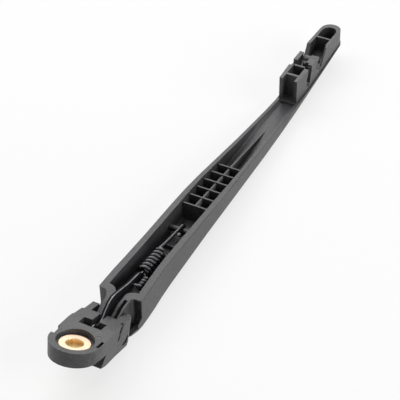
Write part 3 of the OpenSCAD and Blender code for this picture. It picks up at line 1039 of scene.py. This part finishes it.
class WIPER_OT_stage(bpy.types.Operator):
    """Pale floor, soft lamps, world and camera"""

    bl_idname = "wiper.stage"
    bl_label = "Stage"

    def execute(self, context):
        scene = context.scene
        scene.view_settings.view_transform = "Standard"
        bpy.ops.object.select_all(action="DESELECT")
        bpy.ops.mesh.primitive_plane_add(size=6.0, location=(ARM_MIDDLE.x, 0, cad_low.z))
        floor = context.active_object
        floor.name = "floor"
        floor.data.materials.append(self.pale_floor(linear(scene.wiper_colours.floor)))
        self.world(scene)
        self.lamps()
        self.camera(scene)
        return {"FINISHED"}

    def seen_directly(self, tree):
        """1 for rays from the camera, from gloss and through glass; 0 for the rest."""
        path = add(tree, "ShaderNodeLightPath")
        seen = path.outputs["Is Camera Ray"]
        for ray in ("Is Glossy Ray", "Is Transmission Ray"):
            either = {0: seen, 1: path.outputs[ray]}
            seen = add(tree, "ShaderNodeMath", either, operation="MAXIMUM").outputs[0]
        return seen

    def pale_floor(self, colour):
        """Matt white board, lit from below as well, so that only soft shadows are left on it."""
        material, tree = blank("pale_floor")
        share = add(
            tree, "ShaderNodeMapRange", {"Value": self.seen_directly(tree), "To Max": 0.72}
        )
        board = add(tree, "ShaderNodeBsdfDiffuse", {"Color": colour})
        glow = add(tree, "ShaderNodeEmission", {"Color": (1, 1, 1, 1), "Strength": 1.0})
        mixed = add(
            tree,
            "ShaderNodeMixShader",
            {
                "Fac": share.outputs["Result"],
                1: board.outputs["BSDF"],
                2: glow.outputs["Emission"],
            },
        )
        add(tree, "ShaderNodeOutputMaterial", {"Surface": mixed.outputs["Shader"]})
        return material

    def world(self, scene):
        """Dim even light from all round; the camera, gloss and glass find it white."""
        world = bpy.data.worlds.new("studio")
        scene.world = world
        world.use_nodes = True
        tree = world.node_tree
        tree.nodes.clear()
        strength = add(
            tree,
            "ShaderNodeMapRange",
            {"Value": self.seen_directly(tree), "To Min": 0.12, "To Max": 1.0},
        )
        light = add(
            tree,
            "ShaderNodeBackground",
            {"Color": (1, 1, 1, 1), "Strength": strength.outputs["Result"]},
        )
        add(tree, "ShaderNodeOutputWorld", {"Surface": light.outputs["Background"]})

    def lamps(self):
        """Wide soft boxes: the main one behind the tip, one each side, and one overhead."""
        for name, place, size, power in (
            ("back_box", (1.10, 0.55, 1.0), 1.1, 8.5),
            ("left_box", (0.20, 0.85, 0.95), 1.0, 6.0),
            ("overhead_box", (0.45, -0.10, 1.4), 1.0, 4.5),
            ("right_box", (0.15, -1.20, 0.50), 0.9, 10.0),
        ):
            bpy.ops.object.light_add(type="AREA", location=place)
            lamp = bpy.context.active_object
            lamp.name = name
            lamp.data.shape = "SQUARE"
            lamp.data.size = size
            lamp.data.energy = power
            aim = ARM_MIDDLE - lamp.location
            lamp.rotation_mode = "QUATERNION"
            lamp.rotation_quaternion = aim.to_track_quat("-Z", "Y")

    def camera(self, scene):
        """Long lens, at the place and the slight roll from which the photograph was taken."""
        bpy.ops.object.camera_add(location=(-0.40156, -0.28304, 0.51200))
        camera = bpy.context.active_object
        camera.data.lens = 135
        camera.data.sensor_width = 36
        camera.data.clip_start, camera.data.clip_end = 0.05, 20
        looks = Vector((0.66850, 0.35712, -0.65237))
        right = Vector((0.46101, -0.88729, -0.01331))
        up = right.cross(looks)
        turn = Matrix((right, up, -looks)).transposed()
        camera.rotation_mode = "QUATERNION"
        camera.rotation_quaternion = turn.to_quaternion()
        scene.camera = camera


class WIPER_PT_panel(bpy.types.Panel):
    """Lists the arm's operators"""

    bl_label = "Wiper Arm"
    bl_idname = "WIPER_PT_panel"
    bl_space_type = "VIEW_3D"
    bl_region_type = "UI"
    bl_category = "Wiper Arm"

    def draw(self, context):
        for operator in OPERATORS:
            self.layout.operator(operator.bl_idname)


OPERATORS = (
    WIPER_OT_arm,
    WIPER_OT_clip,
    WIPER_OT_head,
    WIPER_OT_bush,
    WIPER_OT_steel,
    WIPER_OT_spring,
    WIPER_OT_stage,
)
CLASSES = (WiperSizes, WiperColours, *OPERATORS, WIPER_PT_panel)


def register():
    for item in CLASSES:
        bpy.utils.register_class(item)
    bpy.types.Scene.wiper_sizes = bpy.props.PointerProperty(type=WiperSizes)
    bpy.types.Scene.wiper_colours = bpy.props.PointerProperty(type=WiperColours)


def unregister():
    del bpy.types.Scene.wiper_colours
    del bpy.types.Scene.wiper_sizes
    for item in reversed(CLASSES):
        bpy.utils.unregister_class(item)


def main():
    register()
    bpy.ops.wiper.arm()
    bpy.ops.wiper.clip()
    bpy.ops.wiper.head()
    bpy.ops.wiper.bush()
    bpy.ops.wiper.steel()
    bpy.ops.wiper.spring()
    bpy.ops.wiper.stage()


if __name__ == "__main__":
    main()
